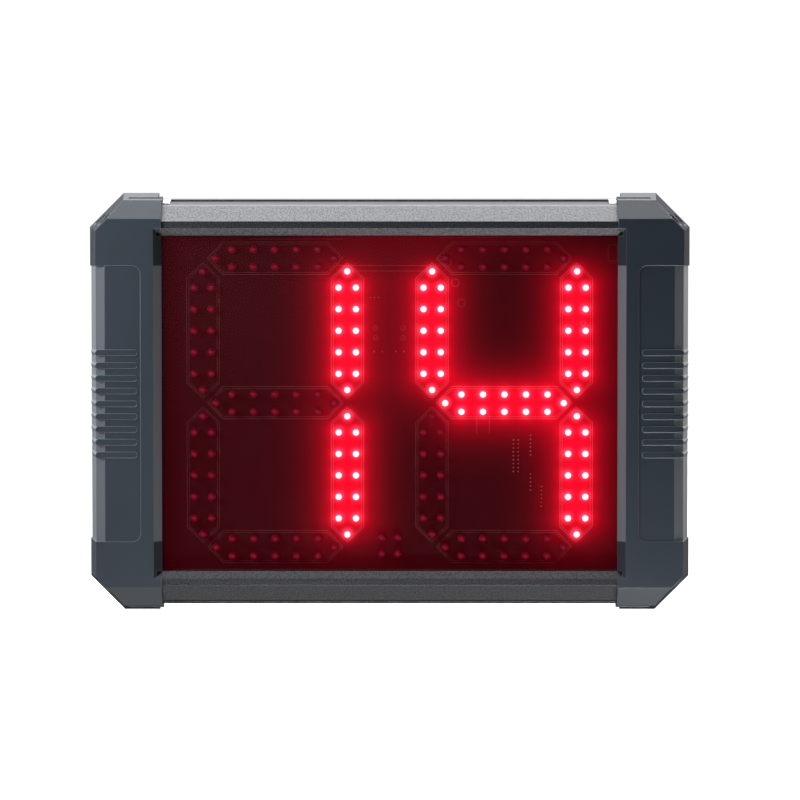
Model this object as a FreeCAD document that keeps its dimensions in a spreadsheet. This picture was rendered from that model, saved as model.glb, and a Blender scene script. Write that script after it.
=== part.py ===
import FreeCAD, Part
import math
import os
import re
import Sketcher

# A two-digit seven-segment LED counter: two aluminium rails hold the window, the display board and the
# back panel, and two moulded end caps close the ends. Front faces -Y, width runs along X, +Z is up.
# Depths are counted from the front face of the end caps, heights from the middle of the object.

V = FreeCAD.Vector
doc = FreeCAD.newDocument("LedCounter")
sheet = doc.addObject("Spreadsheet::Sheet", "Sizes")

SIZES = {
    # the outside
    "overall_width": 388, "overall_depth": 40, "overall_height": 270,
    "draft_angle": 9.37, "corner_cut": 22, "face_bevel_height": 12.3, "face_bevel_depth": 9,
    # end caps
    "cap_reach": 48.5, "cap_wall": 2.8, "cap_skin": 1.85, "cap_overlap": 14.5, "socket_fit": 0.15,
    "setback_width": 3.4, "setback_depth": 24, "window_bevel": 5, "rim_width": 6,
    "grip_length": 176, "grip_inset": 28.7, "grip_depth": 0.8, "grip_round": 5.5,
    "grip_bevel_wide": 6, "grip_bevel_deep": 4,
    "rib_count": 9, "rib_pitch": 8.15, "rib_height": 3.9, "rib_start": 15.3, "rib_end_depth": 34,
    "rib_root": 0.3, "rib_round": 1.9,
    "roof_groove_front": 12.5, "roof_groove_wide": 7.3, "roof_groove_long": 21.5, "roof_groove_deep": 0.6,
    # rails
    "rail_front": 2, "rail_rear": 38, "rail_sink": 3.8, "rail_rise": 4.95, "rail_bevel": 10.2,
    "rail_face": 4.25, "rail_lip_bevel": 4.7, "rail_wall": 1.8, "slot_engage": 4.2, "slot_fit": 0.1,
    "sheet_gap": 0.3, "channel_front": 18, "channel_wide": 15.6, "channel_deep": 0.9,
    "port_radius": 1.7, "port_front_depth": 9, "port_rear_depth": 27, "port_rise": 10.05,
    "cavity_low": 6, "cavity_high": 14.1, "cavity_front": 12.8, "cavity_rear": 23.2,
    "leg_drop": 4.1, "tee_low": 1.8, "tee_tall": 11, "tee_deep": 3.4, "tee_lip": 1.6, "tee_mouth": 7,
    # sheets between the rails
    "window_depth": 6.2, "window_thick": 2.5, "board_depth": 20, "board_thick": 1.6,
    "panel_depth": 32.5, "panel_thick": 1.5, "sheet_reach": 6.5,
    # light-emitting diodes
    "digit_spacing": 147, "cell_size": 92.7, "led_pitch": 13.78, "led_across": 11.09, "led_tip_gap": 10.38,
    "led_radius": 2.5, "led_flange": 2.9, "led_flange_thick": 1, "led_tall": 8.6,
    "point_pitch": 10.3, "point_height": 91.7,
    # electronics behind the display board
    "control_width": 90, "control_height": 60, "control_thick": 1.6, "control_x": 62, "spacer_tall": 5,
    "spacer_flat": 5.5, "spacer_inset": 4.5, "board_hole": 1.6, "screw_thread": 1.5,
    "screw_head_wide": 2.7, "screw_head_tall": 1.8,
    "driver_long": 10.3, "driver_wide": 7.5, "driver_tall": 2.3, "resistor_long": 3.2,
    "resistor_wide": 1.6, "resistor_tall": 0.6, "header_long": 25.4, "header_wide": 5,
    "micro_side": 10, "micro_tall": 1.4, "crystal_long": 11, "crystal_wide": 4.6, "crystal_tall": 3.2,
    "cell_radius": 10, "cell_thick": 3.2, "holder_wide": 23, "holder_tall": 4.6, "radio_long": 28,
    "radio_wide": 12, "radio_tall": 3, "inductor_side": 7, "inductor_tall": 3,
    "sounder_radius": 11.5, "sounder_tall": 9, "sounder_height": 40, "sound_slot_long": 14,
    "sound_slot_wide": 1.6, "sound_slot_pitch": 4, "lead_radius": 0.8,
    # cap screws
    "cap_screw_radius": 1.65, "cap_screw_head": 3.6, "cap_screw_head_tall": 2.6, "cap_screw_bite": 12,
    "boss_wall": 1.6, "boss_floor": 3, "screw_hole_fit": 0.3, "head_recess_fit": 0.4,
    # socket recess in the back of the right end cap
    "recess_inset": 24, "recess_wide": 28, "recess_low": -85, "recess_high": -25, "recess_deep": 6,
    "recess_wall": 1.85, "jack_height": -70, "jack_radius": 5.5, "jack_bore": 3, "jack_pin": 1,
    "jack_nut_flat": 14, "jack_nut_tall": 2.2, "jack_flange": 7, "jack_hole_fit": 0.1,
    "jack_body_deep": 11, "jack_flange_thick": 2, "jack_proud": 1, "jack_bore_deep": 9.9,
    "jack_pin_sunk": 2.2, "body_relief": 0.5,
    "switch_height": -42, "switch_wide": 12.7, "switch_tall": 19, "switch_body_deep": 13,
    "switch_flange_wide": 15, "switch_flange_tall": 21, "switch_flange_thick": 1.6, "switch_wall": 1,
    "rocker_half": 8, "rocker_gap": 0.95, "rocker_side_gap": 0.25, "rocker_tilt": 10,
    "rocker_dish": 1.8, "rocker_dip": 1.6, "rocker_keel": 3, "rocker_skirt": 0.5,
    "rocker_pin": 1.1, "rocker_pin_fit": 0.05, "rocker_pin_long": 0.9, "rocker_pivot": 0.6, "rocker_room": 4,
    # hangers
    "hanger_spacing": 190, "hanger_wide": 24, "hanger_thick": 1.8, "hanger_drop": 10.2, "hanger_tall": 41,
    "hanger_round": 4, "hanger_gap": 0.05, "key_radius": 4.5, "key_drop": 32, "key_slot": 5,
    "key_slot_rise": 9.5, "hanger_screw": 2, "hanger_screw_head": 3.8, "hanger_screw_reach": 4.6,
    "nut_long": 10, "nut_tall": 10.4, "nut_thick": 3.2, "nut_thread_fit": 0.05,
    # white end plugs of the top rail's channel
    "plug_long": 4.4, "plug_tail": 9, "plug_proud": 0.5, "plug_fit": 0.2,
    # how far cutting shapes run past what they cut, and overlaps of pieces that are joined
    "cut_past": 1, "join_past": 10,
}

for row, (name, amount) in enumerate(SIZES.items(), start=1):
    sheet.set(f"A{row}", name)
    sheet.set(f"B{row}", str(amount))
    sheet.setAlias(f"B{row}", name)
doc.recompute()

PORT_DEPTHS = ("port_front_depth", "port_rear_depth")
NEAR = 0.01
WORD = re.compile(r"\b[a-z]+(?:_[a-z]+)+\b")


def bound(text):
    """A formula on the named sizes, as an expression on the sheet's cells."""
    return WORD.sub(lambda match: "Sizes." + match.group(0), text)


def size(text):
    """The value of a formula on the named sizes."""
    return float(sheet.evalExpression(bound(text)))


def bind(thing, field, text):
    thing.setExpression(field, bound(text))


# ---- lines worked out from the sizes: y of a depth, and the heights of the rail's edges ----

def at(depth):
    return f"({depth}) - overall_depth / 2"


HALF_WIDE = "overall_width / 2"
HALF_TALL = "overall_height / 2"
SHRINK = "tan(draft_angle)"
FACE_TOP = f"({HALF_TALL} - (overall_depth - face_bevel_depth) * {SHRINK} - face_bevel_height)"
BEVEL_TOP = f"({FACE_TOP} + face_bevel_height)"
INNER_EDGE = f"({HALF_WIDE} - cap_reach)"
RECESS_X = f"({HALF_WIDE} - recess_inset)"
RAIL_END = f"({INNER_EDGE} + cap_overlap)"
SHEET_END = f"({INNER_EDGE} + sheet_reach)"
RAIL_BACK_TOP = f"({HALF_TALL} - rail_sink)"
RAIL_BEVEL_TOP = f"({RAIL_BACK_TOP} - rail_rise)"
HANGER_TOP = f"({RAIL_BACK_TOP} - hanger_drop)"
KEY_HEIGHT = f"({HANGER_TOP} - key_drop)"
RAIL_BEVEL_BACK = "(rail_front + rail_bevel)"
RAIL_FACE_TOP = f"({RAIL_BEVEL_TOP} - rail_bevel)"
RAIL_FACE_LOW = f"({RAIL_FACE_TOP} - rail_face)"
LIP = f"({RAIL_FACE_LOW} - rail_lip_bevel)"
SLOT_TOP = f"({LIP} + slot_engage)"
SHEET_TOP = f"({SLOT_TOP} - sheet_gap)"
LEG_LOW = f"({LIP} - leg_drop)"
PANEL_TOP = f"({LEG_LOW} + slot_engage - sheet_gap)"
TEE_LOW = f"({LIP} + tee_low)"
TEE_TOP = f"({TEE_LOW} + tee_tall)"
TEE_MIDDLE = f"({TEE_LOW} + tee_tall / 2)"
PORT_HEIGHT = f"({LIP} + port_rise)"
BOARD_BACK = "(board_depth + board_thick)"
CONTROL_DEPTH = f"({BOARD_BACK} + spacer_tall)"
CONTROL_BACK = f"({CONTROL_DEPTH} + control_thick)"


GRIP_CORNER = "(grip_depth + grip_bevel_deep)"


def facing(depth):
    """How far along -Y an X-Z sketch stands for a depth."""
    return f"-({at(depth)})"


def rail_top(depth):
    """Height of a rail's sloping outer face at a depth."""
    return (f"({RAIL_BEVEL_TOP} + rail_rise * (({depth}) - {RAIL_BEVEL_BACK})"
            f" / (rail_rear - {RAIL_BEVEL_BACK}))")


def cap_side(depth, sunk="0"):
    """Distance of an end cap's drafted outer side from the middle, at a depth."""
    return f"({HALF_WIDE} - (overall_depth - ({depth})) * {SHRINK} - ({sunk}))"


def cap_top(depth):
    """Height of an end cap's drafted top at a depth."""
    return f"({HALF_TALL} - (overall_depth - ({depth})) * {SHRINK})"


# ---- helpers that make bound features ----

def new_body(name):
    return doc.addObject("PartDesign::Body", name)


def sketch(body, plane, outlines, offset="0"):
    """A sketch on one of the body's own planes, moved along its normal. An outline is a list of points
    (across, up), or a circle (across, up, radius), all formulas."""
    drawn = body.newObject("Sketcher::SketchObject", f"{body.Name}Sketch")
    face = next(f for f in body.Origin.OriginFeatures if f.Role == plane)
    drawn.AttachmentSupport = [(face, "")]
    drawn.MapMode = "FlatFace"
    bind(drawn, "AttachmentOffset.Base.z", offset)
    for outline in outlines:
        if isinstance(outline, tuple):
            draw_circle(drawn, outline)
        else:
            draw_polygon(drawn, outline)
    return drawn


def hold(drawn, kind, geometry, point, text):
    number = drawn.addConstraint(Sketcher.Constraint(kind, -1, 1, geometry, point, size(text)))
    bind(drawn, f"Constraints[{number}]", text)


def draw_circle(drawn, circle):
    across, up, radius = circle
    centre = V(size(across), size(up), 0)
    ring = drawn.addGeometry(Part.Circle(centre, V(0, 0, 1), size(radius)))
    hold(drawn, "DistanceX", ring, 3, across)
    hold(drawn, "DistanceY", ring, 3, up)
    number = drawn.addConstraint(Sketcher.Constraint("Radius", ring, size(radius)))
    bind(drawn, f"Constraints[{number}]", radius)


def draw_polygon(drawn, points):
    corners = [V(size(across), size(up), 0) for across, up in points]
    first = drawn.GeometryCount
    count = len(corners)
    for step in range(count):
        drawn.addGeometry(Part.LineSegment(corners[step], corners[(step + 1) % count]))
    for step in range(count):
        following = first + (step + 1) % count
        drawn.addConstraint(Sketcher.Constraint("Coincident", first + step, 2, following, 1))
    for step, (across, up) in enumerate(points):
        hold(drawn, "DistanceX", first + step, 1, across)
        hold(drawn, "DistanceY", first + step, 1, up)


def feature(body, kind, drawn, length, both_ways=False, taper=None, against=False):
    """A Pad or a Pocket along the sketch plane's normal, against it, or equally both ways."""
    made = body.newObject(f"PartDesign::{kind}", f"{body.Name}{kind}")
    made.Profile = drawn
    made.Reversed = (kind == "Pocket") != against
    if both_ways:
        made.SideType = "Symmetric"
    bind(made, "Length", length)
    if taper:
        bind(made, "TaperAngle", taper)
    doc.recompute()
    return made


def cut(body, drawn, length="4 * overall_width", both_ways=True, against=False):
    """A Pocket that must take material away."""
    before = body.Shape.Volume
    made = feature(body, "Pocket", drawn, length, both_ways, None, against)
    if body.Shape.Volume >= before:
        raise RuntimeError(f"{made.Name} cuts nothing")
    return made


def round_edges(body, wanted, radius):
    """A Fillet on those of the body's edges that the test picks."""
    base = body.Tip
    numbered = enumerate(body.Shape.Edges, start=1)
    edges = [f"Edge{number}" for number, edge in numbered if wanted(edge.BoundBox)]
    rounding = body.newObject("PartDesign::Fillet", f"{body.Name}Fillet")
    rounding.Base = (base, edges)
    bind(rounding, "Radius", radius)
    doc.recompute()


def prism(name, plane, outlines, start, length, both_ways=False):
    """A body of one Pad: its sketch stands at start along the plane's normal."""
    body = new_body(name)
    feature(body, "Pad", sketch(body, plane, outlines, start), length, both_ways)
    return body


def rectangle(low_across, high_across, low_up, high_up):
    return [(low_across, low_up), (high_across, low_up), (high_across, high_up), (low_across, high_up)]


def slab(name, across, depths, heights, holes=()):
    """A flat piece from its X, depth and height limits, with round holes (x, height, radius)."""
    outline = rectangle(across[0], across[1], heights[0], heights[1])
    return prism(name, "XZ_Plane", [outline, *holes], facing(depths[1]), f"({depths[1]}) - ({depths[0]})")


def box(name, across, depths, heights):
    """A Part box from its X, depth and height limits."""
    made = doc.addObject("Part::Box", name)
    bind(made, "Length", f"({across[1]}) - ({across[0]})")
    bind(made, "Width", f"({depths[1]}) - ({depths[0]})")
    bind(made, "Height", f"({heights[1]}) - ({heights[0]})")
    bind(made, "Placement.Base.x", across[0])
    bind(made, "Placement.Base.y", at(depths[0]))
    bind(made, "Placement.Base.z", heights[0])
    doc.recompute()
    return made


def rod(name, radius, length, start, direction=V(0, 1, 0)):
    """A Part cylinder whose axis runs from start, (x, depth, height), along a unit direction."""
    made = doc.addObject("Part::Cylinder", name)
    bind(made, "Radius", radius)
    bind(made, "Height", length)
    return stand(made, start, direction)


def stand(made, start, direction):
    """Turns a round primitive's axis along a direction and sets its foot at (x, depth, height)."""
    made.Placement = FreeCAD.Placement(V(), FreeCAD.Rotation(V(0, 0, 1), direction))
    bind(made, "Placement.Base.x", start[0])
    bind(made, "Placement.Base.y", at(start[1]))
    bind(made, "Placement.Base.z", start[2])
    doc.recompute()
    return made


def fused(name, *parts):
    made = doc.addObject("Part::MultiFuse", name)
    made.Shapes = list(parts)
    made.Refine = True
    doc.recompute()
    return made


def less(name, base, *tools):
    """The base with the tools cut away."""
    made = doc.addObject("Part::Cut", name)
    made.Base = base
    made.Tool = tools[0] if len(tools) == 1 else fused(f"{name}Tools", *tools)
    made.Refine = True
    doc.recompute()
    return made


def shared(name, base, tool):
    made = doc.addObject("Part::Common", name)
    made.Base = base
    made.Tool = tool
    made.Refine = True
    doc.recompute()
    return made


def mirrored(name, source, normal, height="0"):
    """The mirror image of a piece in a plane through a height on the middle line."""
    made = doc.addObject("Part::Mirroring", name)
    made.Source = source
    made.Normal = normal
    bind(made, "Base.z", height)
    doc.recompute()
    return made


def moved(shape, across=0.0, depthwise=0.0, up=0.0):
    copy = shape.copy()
    copy.translate(V(across, depthwise, up))
    return copy


def group(name, shapes):
    """Separate copies of one kind of piece in one object."""
    made = doc.addObject("Part::Feature", name)
    made.Shape = Part.makeCompound(shapes)
    return made


NODES = {}


def keep(node, part, raised=True):
    """Names a finished piece and raises it from the middle so that the object stands on the floor."""
    part.Label = node
    if raised:
        own_height = dict(part.ExpressionEngine).get(".Placement.Base.z", "0")
        part.setExpression("Placement.Base.z", f"{own_height} + {bound(HALF_TALL)}")
    NODES[node] = part


# ---- rails ----

def rail_outline():
    """Section of the top rail, as (depth, height), from the window lip round the outside."""
    window_slot = ("window_depth - slot_fit", "window_depth + window_thick + slot_fit")
    board_slot = ("board_depth - slot_fit", f"{BOARD_BACK} + slot_fit")
    panel_slot = ("panel_depth - slot_fit", "panel_depth + panel_thick + slot_fit")
    channel_rear = "channel_front + channel_wide"
    tee_front = "rail_rear - tee_lip - tee_deep"
    tee_rear = "rail_rear - tee_lip"
    mouth = (f"{TEE_MIDDLE} - tee_mouth / 2", f"{TEE_MIDDLE} + tee_mouth / 2")
    leg_slot_top = f"{LEG_LOW} + slot_engage"
    return [
        (window_slot[0], LIP), ("rail_front", RAIL_FACE_LOW), ("rail_front", RAIL_FACE_TOP),
        (RAIL_BEVEL_BACK, RAIL_BEVEL_TOP), ("channel_front", rail_top("channel_front")),
        ("channel_front", f"{rail_top('channel_front')} - channel_deep"),
        (channel_rear, f"{rail_top(channel_rear)} - channel_deep"), (channel_rear, rail_top(channel_rear)),
        ("rail_rear", RAIL_BACK_TOP), ("rail_rear", mouth[1]), (tee_rear, mouth[1]), (tee_rear, TEE_TOP),
        (tee_front, TEE_TOP), (tee_front, TEE_LOW), (tee_rear, TEE_LOW), (tee_rear, mouth[0]),
        ("rail_rear", mouth[0]), ("rail_rear", LEG_LOW), (panel_slot[1], LEG_LOW),
        (panel_slot[1], leg_slot_top), (panel_slot[0], leg_slot_top), (panel_slot[0], LEG_LOW),
        (f"{panel_slot[0]} - rail_wall", LEG_LOW), (f"{panel_slot[0]} - rail_wall", SLOT_TOP),
        (f"{board_slot[1]} + rail_wall", SLOT_TOP), (f"{board_slot[1]} + rail_wall", LIP),
        (board_slot[1], LIP), (board_slot[1], SLOT_TOP), (board_slot[0], SLOT_TOP), (board_slot[0], LIP),
        (f"{board_slot[0]} - rail_wall", LIP), (f"{board_slot[0]} - rail_wall", SLOT_TOP),
        (f"{window_slot[1]} + rail_wall", SLOT_TOP), (f"{window_slot[1]} + rail_wall", LIP),
        (window_slot[1], LIP), (window_slot[1], SLOT_TOP), (window_slot[0], SLOT_TOP),
    ]


def make_rails():
    outline = [(at(depth), height) for depth, height in rail_outline()]
    cavity = rectangle(at("cavity_front"), at("cavity_rear"), f"{LIP} + cavity_low", f"{LIP} + cavity_high")
    ports = [(at(depth), PORT_HEIGHT, "port_radius") for depth in PORT_DEPTHS]
    rail = prism("TopRail", "YZ_Plane", [outline, cavity, *ports], "0", f"2 * {RAIL_END}", both_ways=True)
    keep("top_rail", rail)
    keep("bottom_rail", mirrored("BottomRail", rail, V(0, 0, 1), HALF_TALL), raised=False)


# ---- end caps: the right one is drawn, the left one is its mirror image ----

def make_outer():
    """The drafted outside, with its bevelled front, sunk grip, ribs and roof grooves."""
    body = new_body("CapOuter")
    start = f"{INNER_EDGE} - join_past"
    outline = [
        (start, f"-{HALF_TALL}"), (f"{HALF_WIDE} - corner_cut", f"-{HALF_TALL}"),
        (HALF_WIDE, f"-{HALF_TALL} + corner_cut"), (HALF_WIDE, f"{HALF_TALL} - corner_cut"),
        (f"{HALF_WIDE} - corner_cut", HALF_TALL), (start, HALF_TALL),
    ]
    rear = sketch(body, "XZ_Plane", [outline], facing("overall_depth"))
    feature(body, "Pad", rear, "overall_depth", taper="-draft_angle")
    cut(body, sketch(body, "XZ_Plane", [rectangle("0", INNER_EDGE, "-overall_height", "overall_height")]))
    bevels = []
    for side in ("", "-"):
        bevels.append([
            (at("0"), f"{side}{FACE_TOP}"), (at("face_bevel_depth"), f"{side}{BEVEL_TOP}"),
            (at("face_bevel_depth"), f"{side}overall_height"), (at("-cut_past"), f"{side}overall_height"),
            (at("-cut_past"), f"{side}{FACE_TOP}"),
        ])
    cut(body, sketch(body, "YZ_Plane", bevels))
    cut_grip(body)
    add_ribs(body)
    cut_roof_grooves(body)
    setback = rectangle("0", f"{INNER_EDGE} + setback_width", at("setback_depth"),
                        at("overall_depth + cut_past"))
    cut(body, sketch(body, "XY_Plane", [setback]))
    return body


def cut_grip(body):
    """Sinks the front and the side between the corners, with a bevel where they meet."""
    tall = "grip_length / 2"
    sunk = rectangle(f"{cap_side('0')} - grip_inset", HALF_WIDE, f"-{tall}", tall)
    face = sketch(body, "XZ_Plane", [sunk], facing("0"))
    cut(body, face, "grip_depth", both_ways=False, against=True)
    inner = size(f"{cap_side('0')} - grip_inset")
    deep = size("grip_depth")
    corners = lambda ends: abs(ends.YLength - deep) < NEAR and abs(ends.XMax - inner) < NEAR
    round_edges(body, corners, "grip_round")
    beyond = "overall_depth + cut_past"
    side = [
        (f"{cap_side('0')} - grip_bevel_wide", at("grip_depth")),
        (cap_side(GRIP_CORNER, "grip_depth"), at(GRIP_CORNER)),
        (cap_side(beyond, "grip_depth"), at(beyond)), (f"{HALF_WIDE} + overall_depth", at(beyond)),
        (f"{HALF_WIDE} + overall_depth", at("-cut_past")),
        (f"{cap_side('0')} - grip_bevel_wide", at("-cut_past")),
    ]
    cut(body, sketch(body, "XY_Plane", [side]), "grip_length")


def add_ribs(body):
    """Ribs across the sunk front, level with the corners, that go on as round bars along the side."""
    start = f"{INNER_EDGE} + rib_start"
    half = "rib_height / 2"
    sunk = "grip_depth + rib_root"
    lowest_height = "-(rib_count - 1) * rib_pitch / 2"
    rib = [
        (start, at(sunk)), (start, at("0")), (f"{cap_side('0')} - {half}", at("0")),
        (f"{cap_side('rib_end_depth')} - {half}", at("rib_end_depth")),
        (f"{cap_side('rib_end_depth')} - {half} - rib_root", at("rib_end_depth")),
        (f"{cap_side(GRIP_CORNER)} - {half} - rib_root", at(GRIP_CORNER)),
        (f"{cap_side('0')} - grip_bevel_wide - rib_root", at(sunk)),
    ]
    flat = feature(body, "Pad", sketch(body, "XY_Plane", [rib], lowest_height), "rib_height", both_ways=True)
    ring = (f"{cap_side('0')} - {half}", lowest_height, half)
    drawn = sketch(body, "XZ_Plane", [ring], facing("0"))
    round_bar = body.newObject("PartDesign::Pad", "RibBar")
    round_bar.Profile = drawn
    round_bar.UseCustomVector = True
    round_bar.Direction = V(math.tan(math.radians(size("draft_angle"))), 1, 0)
    round_bar.AlongSketchNormal = True
    bind(round_bar, "Length", "rib_end_depth")
    body.Tip = round_bar
    doc.recompute()
    row = body.newObject("PartDesign::LinearPattern", "RibRow")
    row.Originals = [flat, round_bar]
    row.Direction = (next(f for f in body.Origin.OriginFeatures if f.Role == "Z_Axis"), [""])
    bind(row, "Length", "(rib_count - 1) * rib_pitch")
    bind(row, "Occurrences", "rib_count")
    body.Tip = row
    doc.recompute()
    inner = size(start)
    corners = lambda ends: abs(ends.XMax - inner) < NEAR and ends.ZLength < NEAR < ends.YLength
    round_edges(body, corners, "rib_round")


def cut_roof_grooves(body):
    """Shallow grooves across the top and bottom, from the inner edge to the corner."""
    front = "roof_groove_front"
    rear = "roof_groove_front + roof_groove_wide"
    grooves = []
    for side in ("", "-"):
        grooves.append([
            (at(front), f"{side}({cap_top(front)} - roof_groove_deep)"),
            (at(rear), f"{side}({cap_top(rear)} - roof_groove_deep)"),
            (at(rear), f"{side}overall_height"), (at(front), f"{side}overall_height"),
        ])
    drawn = sketch(body, "YZ_Plane", grooves, f"{INNER_EDGE} - cut_past")
    cut(body, drawn, "roof_groove_long + cut_past", both_ways=False)


def make_hollow():
    """The space inside an end cap: the rails' envelope near the middle, walls of even thickness beyond."""
    rear = "rail_rear + socket_fit"
    side = cap_side(rear, "cap_wall")
    roof = cap_top(rear)
    diagonal = (f"({HALF_WIDE} + {HALF_TALL} - corner_cut"
                f" - sqrt(2) * ((overall_depth - {rear}) * {SHRINK} + cap_wall))")
    start = f"{INNER_EDGE} - join_past - cut_past"
    outline = [
        (start, f"-{roof}"), (f"{diagonal} - {roof}", f"-{roof}"), (side, f"-({diagonal} - {side})"),
        (side, f"{diagonal} - {side}"), (f"{diagonal} - {roof}", roof), (start, roof),
    ]
    walls = new_body("CapInner")
    drawn = sketch(walls, "XZ_Plane", [outline], facing(rear))
    feature(walls, "Pad", drawn, f"{rear} - cap_skin", taper="-draft_angle")
    inside = f"{cap_side('0')} - grip_bevel_wide - 2 * cap_wall"
    behind = at("grip_depth + 3 * grip_bevel_deep")
    corner = [
        (inside, at("grip_depth")), (f"{inside} + 3 * grip_bevel_wide", behind),
        (f"{HALF_WIDE} + overall_depth", behind), (f"{HALF_WIDE} + overall_depth", at("grip_depth")),
    ]
    cut(walls, sketch(walls, "XY_Plane", [corner]))
    upper = [
        (at("cap_skin"), f"{RAIL_FACE_TOP} + socket_fit"),
        (at(f"{RAIL_BEVEL_BACK} - socket_fit"), f"{RAIL_BEVEL_TOP} + socket_fit"),
        (at(rear), f"{RAIL_BACK_TOP} + 1.5 * socket_fit"),
    ]
    lower = [(depth, f"-({height})") for depth, height in reversed(upper)]
    envelope = prism("CapEnvelope", "YZ_Plane", [upper + lower], f"{INNER_EDGE} - join_past",
                     "2 * cap_reach")
    return shared("CapHollow", walls, envelope)


def screw_places():
    for side in ("", "-"):
        for depth in PORT_DEPTHS:
            yield depth, f"{side}{PORT_HEIGHT}"


def make_cap():
    """The right end cap before the socket recess is added."""
    outer = make_outer()
    shell = less("CapShell", outer, make_hollow())
    seat = f"{RAIL_END} + sheet_gap"
    bosses = []
    drills = []
    for number, (depth, height) in enumerate(screw_places()):
        start = (seat, depth, height)
        boss_radius = "cap_screw_head + head_recess_fit + boss_wall"
        bosses.append(rod(f"Boss{number}", boss_radius, "cap_reach", start, V(1, 0, 0)))
        through = (f"{RAIL_END} - cut_past", depth, height)
        hole_radius = "cap_screw_radius + screw_hole_fit"
        drills.append(rod(f"Drill{number}", hole_radius, "cap_reach", through, V(1, 0, 0)))
        head = (f"{seat} + boss_floor", depth, height)
        drills.append(rod(f"Sink{number}", "cap_screw_head + head_recess_fit", "cap_reach", head, V(1, 0, 0)))
    columns = shared("CapBosses", outer, fused("BossRods", *bosses))
    tall = f"{LIP} - socket_fit"
    rim = box("CapRim", (INNER_EDGE, f"{INNER_EDGE} + rim_width"),
              ("cap_skin / 2", "window_depth - slot_fit"), (f"-({tall})", tall))
    inner_rear = f"{INNER_EDGE} + setback_width"
    tall = f"{LEG_LOW} - socket_fit"
    fence = box("CapFence", (inner_rear, f"{inner_rear} + recess_wall"),
                ("panel_depth + panel_thick + slot_fit", "(rail_rear + overall_depth) / 2"),
                (f"-({tall})", tall))
    solid = fused("CapSolid", shell, columns, rim, fence)
    bevel = new_body("WindowBevel")
    mouth = rectangle(f"{INNER_EDGE} - join_past", f"{INNER_EDGE} + window_bevel", f"-{RAIL_FACE_LOW}",
                      RAIL_FACE_LOW)
    drawn = sketch(bevel, "XZ_Plane", [mouth], facing("0"))
    feature(bevel, "Pad", drawn, "window_bevel", taper="-45", against=True)
    return less("CapBase", solid, bevel, *drills)


def make_caps():
    base = make_cap()
    slots = []
    for step in range(-2, 3):
        middle = f"sounder_height + {step} * sound_slot_pitch"
        slots.append(box(
            f"SoundSlot{step + 2}", tuple(f"-{RECESS_X} {sign} sound_slot_long / 2" for sign in "-+"),
            ("rail_rear - cut_past", "overall_depth + cut_past"),
            (f"{middle} - sound_slot_wide / 2", f"{middle} + sound_slot_wide / 2")))
    left = less("CapLeft", mirrored("CapMirror", base, V(1, 0, 0)), *slots)
    keep("end_cap_left", left)
    floor = "overall_depth - recess_deep"
    sides = (f"{RECESS_X} - recess_wide / 2", f"{RECESS_X} + recess_wide / 2")
    tray = box("RecessTray", (f"{sides[0]} - recess_wall", f"{sides[1]} + recess_wall"),
               (f"{floor} - recess_wall", "(rail_rear + overall_depth) / 2"),
               ("recess_low - recess_wall", "recess_high + recess_wall"))
    room = box("RecessRoom", sides, (floor, "overall_depth + 1"), ("recess_low", "recess_high"))
    hole = rod("JackHole", "jack_radius + jack_hole_fit", "2 * recess_deep",
               (RECESS_X, f"{floor} - recess_deep", "jack_height"))
    window = box("SwitchCutout",
                 (f"{RECESS_X} - switch_wide / 2 - slot_fit", f"{RECESS_X} + switch_wide / 2 + slot_fit"),
                 (f"{floor} - recess_deep", f"{floor} + cut_past"),
                 ("switch_height - switch_tall / 2 - slot_fit", "switch_height + switch_tall / 2 + slot_fit"))
    keep("end_cap_right", less("CapRight", fused("CapWithTray", base, tray), room, hole, window))


def make_cap_screws():
    """Pan-headed screws that run through the caps into the rails' ports."""
    seat = f"({RAIL_END} + sheet_gap + boss_floor)"
    long = f"{seat} - {RAIL_END} + cap_screw_bite"
    tip = (f"{RAIL_END} - cap_screw_bite", "0", "0")
    shank = rod("CapScrewShank", "cap_screw_radius", long, tip, V(1, 0, 0))
    head = rod("CapScrewHead", "cap_screw_head", "cap_screw_head_tall", (seat, "0", "0"), V(1, 0, 0))
    right = fused("CapScrew", shank, head).Shape
    left = right.mirror(V(), V(1, 0, 0))
    copies = []
    for depth, height in screw_places():
        copies.append(moved(right, 0, size(depth), size(height)))
        copies.append(moved(left, 0, size(depth), size(height)))
    keep("end_cap_screws", group("CapScrews", copies))


def make_plugs():
    """White plugs in the ends of the top rail's channel, seen beside the caps."""
    front = "channel_front + plug_fit"
    rear = "channel_front + channel_wide - plug_fit"
    floor = "channel_deep - plug_fit"
    body = new_body("Plug")
    tail = [
        (at(front), f"{rail_top(front)} - ({floor})"), (at(rear), f"{rail_top(rear)} - ({floor})"),
        (at(rear), f"{rail_top(rear)} - slot_fit"), (at(front), f"{rail_top(front)} - slot_fit"),
    ]
    start = f"{INNER_EDGE} - plug_long"
    feature(body, "Pad", sketch(body, "YZ_Plane", [tail], start), "plug_long + plug_tail")
    head = tail[:2] + [
        (at(rear), f"{rail_top(rear)} + plug_proud"), (at(front), f"{rail_top(front)} + plug_proud"),
    ]
    feature(body, "Pad", sketch(body, "YZ_Plane", [head], start), "plug_long - slot_fit")
    right = body.Shape
    keep("channel_plugs", group("ChannelPlugs", [right.copy(), right.mirror(V(), V(1, 0, 0))]))


# ---- the sheets that slide between the rails ----

def make_sheets():
    across = (f"-{SHEET_END}", SHEET_END)
    window = slab("FrontWindow", across, ("window_depth", "window_depth + window_thick"),
                  (f"-{SHEET_TOP}", SHEET_TOP))
    keep("front_window", window)
    board = slab("DisplayBoard", across, ("board_depth", BOARD_BACK), (f"-{SHEET_TOP}", SHEET_TOP))
    keep("display_board", board)
    panel = slab("BackPanel", across, ("panel_depth", "panel_depth + panel_thick"),
                 (f"-{PANEL_TOP}", PANEL_TOP))
    keep("back_panel", panel)


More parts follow.
